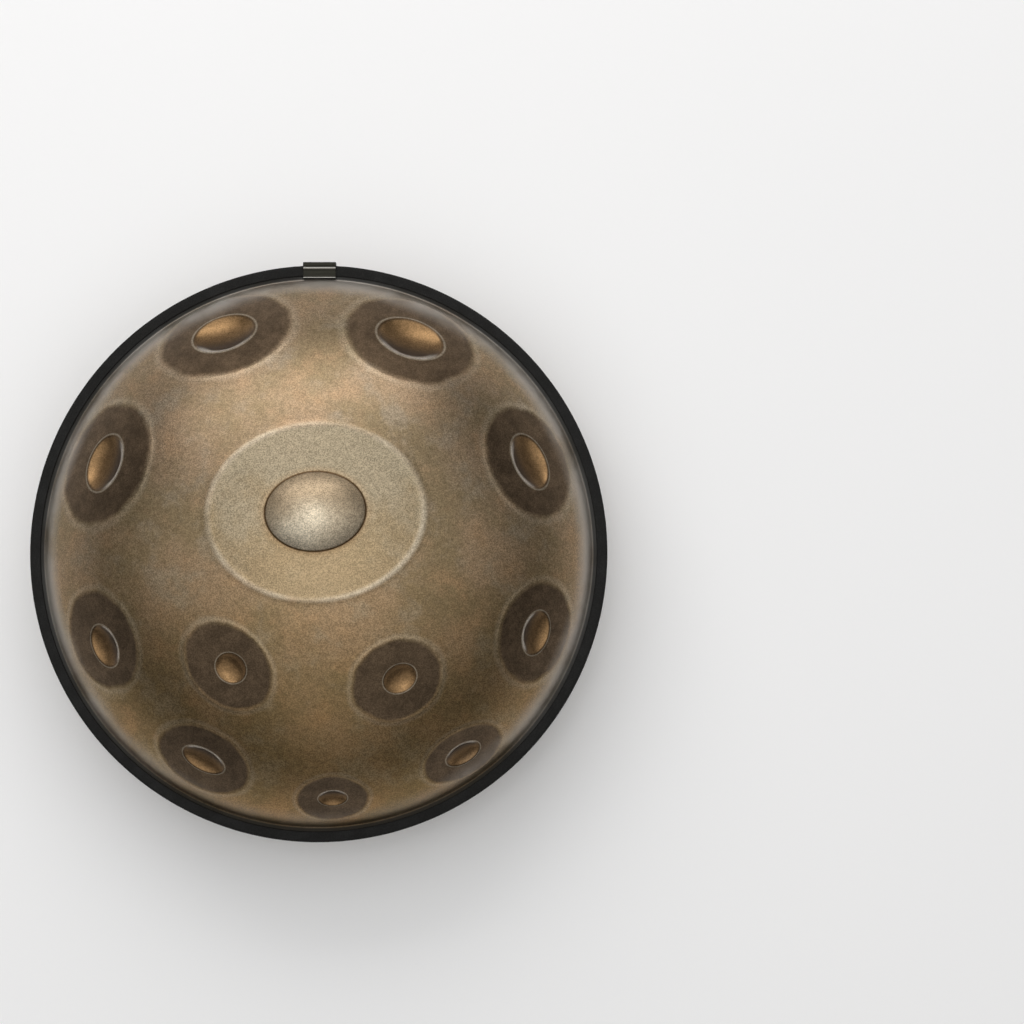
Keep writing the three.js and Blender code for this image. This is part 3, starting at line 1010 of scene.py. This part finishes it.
    def build(self) -> Piece:
        """Builds the shell and dresses it.

        Returns:
            The finished piece.
        """
        face = self.dome.stations(2 * MM, self.step)
        back = self.dome.stations(2 * MM, self.inner_step)[::-1]
        outer, marks = self.shaped(face, 0.0)
        inner, _ = self.shaped(back, self.sheet)
        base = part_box("top_shell")[0].z + self.sheet
        rows = len(face) + len(back)
        bands = [side.reshape(self.sides, -1, 3) for side in (outer, inner)]
        points = np.concatenate(bands, axis=1).reshape(-1, 3)
        middle = np.array([[0.0, self.dome.rise, 0.0, 1.0]])
        crown, _ = self.shaped(middle, 0.0)
        ceiling, _ = self.shaped(middle, self.sheet)
        points = np.vstack([points, crown[:1], ceiling[:1]]) + np.array([0.0, 0.0, base])
        quads = band_faces(rows, self.sides, False, True)[:, ::-1]
        first = np.arange(self.sides) * rows
        after = np.roll(first, -1)
        top = np.full(self.sides, len(points) - 2)
        over = np.column_stack([top, first, after])
        under = np.column_stack([top + 1, after + rows - 1, first + rows - 1])
        fans = np.vstack([over, under])
        piece = make_object("top_shell_skin", points, [quads, fans], None)
        for name, values in marks.items():
            full = np.full((self.sides, rows), FAR)
            full[:, : len(face)] = values.reshape(self.sides, len(face))
            set_mark(piece, name, np.append(full.ravel(), [values[0], values[0]]))
        inside = np.zeros((self.sides, rows))
        inside[:, len(face) :] = 1.0
        set_mark(piece, "inside", np.append(inside.ravel(), [0.0, 1.0]))
        return settle(piece, self.finish.build(), Slot.TOP_SHELL, "top_shell")


@dataclass
class BottomShell:
    """The lower shell, drawn in to a short neck round its port."""

    dome: Dome = Dome(rise=108 * MM)
    sheet: float = 1.2 * MM
    neck_start: float = 80 * MM
    neck_fillet: float = 20 * MM
    neck_wall: float = 8 * MM
    step: float = 1.5 * MM
    sides: int = 512
    finish: SteelFinish = field(
        default_factory=lambda: SteelFinish(
            "bottom_shell_steel",
            Coat.PLAIN,
            skin=(0.28, 0.215, 0.13),
            olive=(0.23, 0.185, 0.105),
            copper=(0.29, 0.205, 0.12),
            ash=(0.265, 0.215, 0.142),
            grain_size=2.2 * MM,
            grain_depth=0.11 * MM,
        )
    )

    def stations(self) -> np.ndarray:
        """Points of the shell's outer face from the neck's free edge to the flange, crown upwards."""
        start = np.array(self.neck_start)
        slope = float(self.dome.slope(start))
        centre_r = self.neck_start - self.neck_fillet * math.sin(slope)
        centre_z = float(self.dome.height(start)) - self.neck_fillet * math.cos(slope)
        turn = np.linspace(-math.pi / 2, slope, 28)[:-1]
        across, up = np.sin(turn), np.cos(turn)
        place = [centre_r + self.neck_fillet * across, centre_z + self.neck_fillet * up]
        bend = np.column_stack([*place, across, up])
        edge = centre_r - self.neck_fillet
        wall = np.array([[edge, centre_z - self.neck_wall * k / 4, -1.0, 0.0] for k in range(4, 0, -1)])
        return np.vstack([wall, bend, self.dome.stations(self.neck_start, self.step)])

    def build(self) -> Piece:
        """Builds the shell and dresses it.

        Returns:
            The finished piece.
        """
        rows = self.stations()
        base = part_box("bottom_shell")[1].z - self.sheet
        outer = [(r, base - z) for r, z, _, _ in rows]
        inner = [(r - nr * self.sheet, base - z + nz * self.sheet) for r, z, nr, nz in rows]
        piece = turned("bottom_shell_skin", outer + inner[::-1], self.sides, 60.0)
        set_mark(piece, "inside", np.tile(np.repeat([0.0, 1.0], len(outer)), self.sides))
        return settle(piece, self.finish.build(), Slot.BOTTOM_SHELL, "bottom_shell")


# ---------------------------------------------------------------- rim


@dataclass
class EdgeTrim:
    """The rubber channel pushed over the flanges, with its two ends under the clip."""

    outer: float = 280 * MM
    slot_bottom: float = 277.3 * MM
    tip: float = 269.5 * MM
    half_stack: float = 1.6 * MM
    leg: float = 2.4 * MM
    corner: float = 2.8 * MM
    tip_round: float = 1.0 * MM
    joint: float = 1.0 * MM
    sides: int = 900
    wave: float = 0.10 * MM
    wrinkle: float = 0.22 * MM
    wrinkle_start: float = 16 * MM
    wrinkle_reach: float = 16 * MM
    finish: RubberFinish = RubberFinish()

    def section(self) -> np.ndarray:
        """The channel's closed section about its own mid-height, anticlockwise."""
        height = self.half_stack + self.leg
        upper = [
            (self.slot_bottom, self.half_stack),
            (self.tip + 0.3 * MM, self.half_stack),
            (self.tip, self.half_stack + 0.3 * MM),
            *arc((self.tip + self.tip_round, height - self.tip_round), self.tip_round, 180, 90, 5),
            ((self.tip + self.outer) / 2, height),
            *arc((self.outer - self.corner, height - self.corner), self.corner, 90, 0, 8),
        ]
        lower = [(r, -z) for r, z in reversed(upper)]
        return np.array([*upper, *lower])[::-1]

    def build(self) -> Piece:
        """Builds the trim and dresses it.

        Returns:
            The finished piece.
        """
        low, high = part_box("edge_trim")
        middle = (low.z + high.z) / 2
        section = self.section()
        half_gap = self.joint / 2 / self.outer
        angles = math.pi / 2 + half_gap + np.linspace(0.0, 2.0 * (math.pi - half_gap), self.sides)
        angle = np.repeat(angles, len(section))
        r, z = np.tile(section.T, self.sides)
        inward = self.outer - r
        along = self.outer * np.abs((angle - math.pi / 2 + math.pi) % (2 * math.pi) - math.pi)
        fade = np.clip(1.0 - (along - self.wrinkle_start) / self.wrinkle_reach, 0.0, 1.0)
        fade = np.where(along < self.wrinkle_start, 0.0, fade)
        crease = self.wrinkle * fade * (0.5 - 0.5 * np.cos(along / (1.3 * MM)))
        drift = self.wave * (np.sin(7 * angle) + np.sin(11 * angle + 1.3)) / 2
        skin = np.clip(inward / self.corner, 0.0, 1.0)
        loose = np.where(np.abs(z) > self.half_stack + 0.5 * MM, 1.0, 0.0) * np.sign(z)
        z = z - loose * crease * skin
        r = r - crease * (1.0 - skin) + np.where(inward > 4 * MM, drift, 0.0)
        points = np.column_stack([r * np.cos(angle), r * np.sin(angle), z + middle])
        rows = len(section)
        faces = [band_faces(rows, self.sides, True, False), end_faces(rows, self.sides)]
        piece = make_object("edge_trim_rubber", points, faces, 50.0)
        return settle(piece, self.finish.build(), Slot.EDGE_TRIM, "edge_trim")


@dataclass
class TrimClip:
    """The folded clip over the trim's joint: a raised back, a plate and a rolled hook at each tip."""

    width: float = 32 * MM
    back: float = 280.3 * MM
    back_thickness: float = 2.6 * MM
    plate: float = 1.2 * MM
    step: float = 0.9 * MM
    step_width: float = 6.5 * MM
    hook: float = 1.3 * MM
    corner: float = 2.2 * MM
    inner_height: float = 4.3 * MM
    hook_inner: float = 268.41 * MM
    hook_foot: float = 1.95 * MM
    rows: int = 40
    end_round: float = 0.5 * MM
    finish: ClipFinish = ClipFinish()

    def half_section(self) -> list[tuple[float, float, float]]:
        """Half of the section above its mid-height, from the inside of the back round the outside.

        Returns:
            Distance towards +Y, height, and how much painted highlight the steel gets there.
        """
        plate = self.inner_height + self.plate
        raised = plate + self.step
        outer = self.back + self.back_thickness
        ledge = outer - self.step_width
        tip = self.hook_inner - self.hook
        nose = (self.hook_inner - self.hook / 2, plate - 0.15 * MM)
        lip = 0.35 * MM
        brow = 0.65 * MM
        rolled = arc(nose, self.hook / 2 + 0.1 * MM, 180, 20, 7)
        edge = arc((ledge + brow, raised - brow), brow, 180, 90, 5)
        back = arc((outer - self.corner, raised - self.corner), self.corner, 90, 0, 8)
        return [
            (self.back, self.inner_height, 0.0),
            (self.hook_inner, self.inner_height, 0.0),
            (self.hook_inner, self.hook_foot, 0.0),
            (tip + lip, self.hook_foot, 0.0),
            (tip, self.hook_foot + lip, 0.0),
            (tip, nose[1] - 0.3 * MM, 0.0),
            # Painted highlight on the crest of the rolled hook.
            *((r, z, float(3 <= k <= 4)) for k, (r, z) in enumerate(rolled)),
            (self.hook_inner + 0.5 * MM, plate - 0.1 * MM, 0.0),
            ((self.hook_inner + ledge) / 2, plate - 0.1 * MM, 0.0),
            (ledge - 0.5 * MM, plate - 0.1 * MM, 0.0),
            # Painted highlight along the ledge's rounded edge.
            *((r, z, 1.0) for r, z in edge),
            (ledge + 1.5 * MM, raised - 0.02 * MM, 0.0),
            (ledge + 2.1 * MM, raised - 0.35 * MM, 0.0),
            (ledge + 2.7 * MM, raised - 0.02 * MM, 0.0),
            *((r, z, 0.0) for r, z in back),
        ]

    def stops(self) -> Section:
        """Places along the clip at which its section stands.

        Returns:
            Distance along X of each, and how far the section is drawn in there.
        """
        half = self.width / 2
        ends = []
        for turn in np.linspace(0.0, math.pi / 2, 4):
            inset = self.end_round * (1.0 - math.cos(turn))
            ends.append((half - self.end_round * (1.0 - math.sin(turn)), inset))
        straight = np.linspace(-half, half, self.rows)[1:-1]
        middle = [(x, 0.0) for x in straight if abs(x) < half - self.end_round]
        return [*((-x, inset) for x, inset in reversed(ends)), *middle, *ends]

    def build(self) -> Piece:
        """Builds the clip and dresses it.

        Returns:
            The finished piece.
        """
        low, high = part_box("trim_clip")
        middle = (low.z + high.z) / 2
        upper = self.half_section()
        section = np.array([*upper, *((r, -z, p) for r, z, p in reversed(upper))])[::-1]
        centre = (self.back + self.hook_inner) / 2
        stops = self.stops()
        points, marks = [], []
        for x, inset in stops:
            pull = 1.0 - inset / (8 * MM)
            for r, z, edge_highlight in section:
                points.append((x, centre + (r - centre) * pull, middle + z * pull))
                marks.append(edge_highlight if inset == 0.0 else 0.0)
        rows, columns = len(section), len(stops)
        faces = [band_faces(rows, columns, True, False)[:, ::-1], end_faces(rows, columns)[:, ::-1]]
        piece = make_object("trim_clip_steel", np.array(points), faces, 35.0)
        set_mark(piece, "edge_highlight", np.array(marks))
        return settle(piece, self.finish.build(), Slot.TRIM_CLIP, "trim_clip")


@dataclass
class RimGlue:
    """The glue between the two flanges, squeezed to a rounded bead at both edges."""

    inner: float = 266 * MM
    outer: float = 276 * MM
    sides: int = 360
    finish: SealantFinish = SealantFinish("rim_glue_bead")

    def build(self) -> Piece:
        """Builds the glue and dresses it."""
        low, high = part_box("rim_glue")
        half, middle = (high.z - low.z) / 2, (high.z + low.z) / 2
        section = [
            *arc((self.outer - half, middle), half, -90, 90, 6),
            *arc((self.inner + half, middle), half, 90, 270, 6),
        ]
        piece = turned("rim_glue_bead", section, self.sides, 60.0)
        return settle(piece, self.finish.build(), Slot.RIM_GLUE, "rim_glue")


# ---------------------------------------------------------------- port


@dataclass
class PortRing:
    """The moulded ring in the port: a bezel, a groove, a rounded lip and a sleeve up into the neck."""

    outer: float = 63.94 * MM
    bezel_width: float = 8 * MM
    corner: float = 2.4 * MM
    groove: float = 1.5 * MM
    groove_width: float = 1.4 * MM
    sleeve_outer: float = 56.64 * MM
    sleeve_wall: float = 3 * MM
    lip_reach: float = 7 * MM
    lip_drop: float = 6 * MM
    lip_thickness: float = 3 * MM
    seat: float = 6.45 * MM
    sides: int = 360
    finish: MouldedFinish = MouldedFinish()

    def section(self) -> Section:
        """The ring's closed section, anticlockwise."""
        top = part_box("port_ring")[1].z
        bezel_inner = self.outer - self.bezel_width
        lip_start = bezel_inner - self.groove_width
        sleeve_inner = self.sleeve_outer - self.sleeve_wall
        hole = sleeve_inner - self.lip_reach
        drop = self.lip_drop - self.groove / 2
        lip = [
            (lip_start + (lip_start - hole) * math.cos(a), self.lip_drop + drop * math.sin(a))
            for a in np.radians(np.linspace(-90, -180, 15))
        ]
        back = self.lip_drop + self.lip_thickness
        outline = [
            (self.outer, self.seat),
            *arc((self.outer - self.corner, self.corner), self.corner, 0, -90, 8),
            *arc((bezel_inner + self.groove / 2, self.groove / 2), self.groove / 2, -90, -180, 5),
            *arc((bezel_inner - self.groove_width / 2, self.groove), self.groove_width / 2, 0, 180, 5),
            *lip,
            *arc((hole + 0.8 * MM, back - 0.8 * MM), 0.8 * MM, 180, 90, 4),
            (sleeve_inner - 0.5 * MM, back),
            (sleeve_inner, back + 0.5 * MM),
            *arc((sleeve_inner + 0.6 * MM, top - 0.6 * MM), 0.6 * MM, 180, 90, 3),
            *arc((self.sleeve_outer - 0.6 * MM, top - 0.6 * MM), 0.6 * MM, 90, 0, 3),
            (self.sleeve_outer, self.seat),
        ]
        return outline[::-1]

    def build(self) -> Piece:
        """Builds the ring and dresses it."""
        piece = turned("port_ring_moulding", self.section(), self.sides, 50.0)
        return settle(piece, self.finish.build(), Slot.PORT_RING, "port_ring")


@dataclass
class PortBond:
    """The sealant between the ring's bezel, its sleeve and the neck's fillet."""

    neck_radius: float = 56.94 * MM
    neck_fillet: float = 20 * MM
    gap: float = 0.3 * MM
    centre_height: float = 22 * MM
    outer: float = 63.44 * MM
    top_angle: float = 65.0
    sides: int = 360
    finish: SealantFinish = SealantFinish("port_sealant")

    def build(self) -> Piece:
        """Builds the sealant and dresses it."""
        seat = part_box("port_bond")[0].z
        reach = self.neck_fillet + self.gap
        centre = self.neck_radius + self.neck_fillet
        start = math.asin((centre - self.outer) / reach)
        face = [
            (centre - reach * math.sin(a), self.centre_height - reach * math.cos(a))
            for a in np.linspace(start, math.radians(self.top_angle), 14)
        ]
        section = [(self.neck_radius, seat), (self.outer, seat), *face, (self.neck_radius, face[-1][1])]
        piece = turned("port_sealant", section, self.sides, 40.0)
        return settle(piece, self.finish.build(), Slot.PORT_BOND, "port_bond")


# ---------------------------------------------------------------- studio


@dataclass(frozen=True)
class Softbox:
    """One soft light, aimed at the instrument."""

    name: str
    place: tuple[float, float, float]
    size: Span
    power: float
    colour: Colour = (1.0, 1.0, 1.0)
    aim: tuple[float, float, float] = (0.0, 0.0, 0.1)

    def build(self) -> Piece:
        """Hangs the light."""
        lamp = bpy.data.lights.new(self.name, "AREA")
        lamp.shape = "RECTANGLE"
        lamp.size, lamp.size_y = self.size
        lamp.energy = self.power
        lamp.color = self.colour
        light = bpy.data.objects.new(self.name, lamp)
        bpy.context.scene.collection.objects.link(light)
        light.location = self.place
        way = Vector(self.aim) - Vector(self.place)
        light.rotation_euler = way.to_track_quat("-Z", "Y").to_euler()
        light.visible_camera = False
        return light


@dataclass
class Studio:
    """A pale floor, a soft surround and a few softboxes."""

    floor_span: float = 40.0
    floor_colour: Colour = (0.93, 0.93, 0.93)
    floor_shade: Colour = (0.87, 0.87, 0.87)
    glow_reach: Span = (2.2, 6.0)
    far_glow: float = 0.22
    surround: tuple[Span, ...] = (
        (0.50, 0.80),
        (0.545, 0.70),
        (0.575, 0.10),
        (0.71, 0.09),
        (0.80, 0.36),
        (0.88, 0.90),
        (1.0, 1.30),
    )
    near_level: float = 0.62
    far_level: float = 1.2
    boxes: tuple[Softbox, ...] = (
        Softbox("overhead_softbox", (-0.1, 0.1, 3.4), (0.7, 0.7), 5.5),
        Softbox("far_softbox", (-0.4, 2.5, 1.95), (3.8, 1.5), 46.0, (1.0, 0.98, 0.97)),
        Softbox("near_softbox", (0.0, -2.6, 2.0), (1.4, 1.6), 2.6),
        Softbox("left_softbox", (-2.6, 0.2, 2.0), (1.6, 1.6), 3.0),
        Softbox("right_softbox", (2.6, 0.2, 2.0), (1.6, 1.6), 1.6),
    )

    def lay_floor(self) -> Piece:
        """Lays the floor.

        Returns:
            The floor, which isn't part of the object.
        """
        half = self.floor_span / 2
        corners = ((-1, -1), (1, -1), (1, 1), (-1, 1))
        points = np.array([(x * half, y * half, 0.0) for x, y in corners])
        floor = make_object("studio_floor", points, [np.array([[0, 1, 2, 3]])], None)
        bench = NodeBench("studio_floor_paper")
        weave = bench.remap(bench.noise(4 * MM), 0.3, 0.7, 0.0, 0.04)
        bench.shade(
            Base_Color=bench.mix(weave, self.floor_colour, self.floor_shade),
            Roughness=0.9,
            Emission_Color=(1.0, 1.0, 1.0),
            Emission_Strength=bench.remap(bench.spread(), *self.glow_reach, 0.0, self.far_glow),
        )
        floor.data.materials.append(bench.material)
        return floor

    def light_surround(self) -> None:
        """Lights the surround, pale at the horizon and overhead and dimmer between."""
        world = bpy.data.worlds.new("studio_surround")
        bpy.context.scene.world = world
        world.use_nodes = True
        tree = world.node_tree
        tree.nodes.clear()
        place = tree.nodes.new("ShaderNodeTexCoord")
        split = tree.nodes.new("ShaderNodeSeparateXYZ")
        tree.links.new(place.outputs["Generated"], split.inputs[0])
        lift = tree.nodes.new("ShaderNodeMapRange")
        lift.inputs["From Min"].default_value = -1.0
        tree.links.new(split.outputs["Z"], lift.inputs["Value"])
        ramp = tree.nodes.new("ShaderNodeValToRGB")
        ramp.color_ramp.interpolation = "EASE"
        stops = ramp.color_ramp.elements
        while len(stops) < len(self.surround):
            stops.new(0.5)
        for stop, (at, level) in zip(stops, self.surround):
            stop.position = at
            stop.color = (level, level, level, 1.0)
        tree.links.new(lift.outputs[0], ramp.inputs[0])
        slant = tree.nodes.new("ShaderNodeMapRange")
        slant.inputs["From Min"].default_value = -1.0
        slant.inputs["To Min"].default_value = self.near_level
        slant.inputs["To Max"].default_value = self.far_level
        tree.links.new(split.outputs["Y"], slant.inputs["Value"])
        background = tree.nodes.new("ShaderNodeBackground")
        tree.links.new(ramp.outputs[0], background.inputs["Color"])
        tree.links.new(slant.outputs[0], background.inputs["Strength"])
        output = tree.nodes.new("ShaderNodeOutputWorld")
        tree.links.new(background.outputs[0], output.inputs["Surface"])

    def build(self) -> None:
        """Builds the studio."""
        self.lay_floor()
        self.light_surround()
        for box in self.boxes:
            box.build()
        bpy.context.scene.view_settings.view_transform = "Standard"
        LOG.info("studio: floor, surround and %d softboxes", len(self.boxes))


@dataclass(frozen=True)
class CameraRig:
    """A long lens almost straight above the instrument, moved sideways so that it sits to the left."""

    tilt: float = 3.0
    distance: float = 3.0
    across: float = 187.4 * MM
    along: float = 39.3 * MM
    lens: float = 108.7
    sensor: float = 36.0

    def build(self) -> Piece:
        """Sets up the camera and makes it the scene's own.

        Returns:
            The camera.
        """
        tilt = math.radians(self.tilt)
        right = Vector((1.0, 0.0, 0.0))
        up = Vector((0.0, math.cos(tilt), math.sin(tilt)))
        forward = Vector((0.0, math.sin(tilt), -math.cos(tilt)))
        rim = Vector((0.0, 0.0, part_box("rim_glue")[1].z))
        place = rim - forward * self.distance + right * self.across + up * self.along
        data = bpy.data.cameras.new("studio_camera")
        data.lens, data.sensor_width = self.lens, self.sensor
        camera = bpy.data.objects.new("studio_camera", data)
        bpy.context.scene.collection.objects.link(camera)
        camera.matrix_world = Matrix(
            (
                (right.x, up.x, -forward.x, place.x),
                (right.y, up.y, -forward.y, place.y),
                (right.z, up.z, -forward.z, place.z),
                (0.0, 0.0, 0.0, 1.0),
            )
        )
        bpy.context.scene.camera = camera
        return camera


def main() -> None:
    """Builds the whole scene."""
    logging.basicConfig(level=logging.INFO, format="%(name)s %(message)s")
    for leftover in list(bpy.data.objects):
        bpy.data.objects.remove(leftover)
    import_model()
    CameraRig().build()
    for part in (TopShell(), BottomShell(), EdgeTrim(), TrimClip(), RimGlue(), PortRing(), PortBond()):
        part.build()
    Studio().build()


if __name__ == "__main__":
    main()
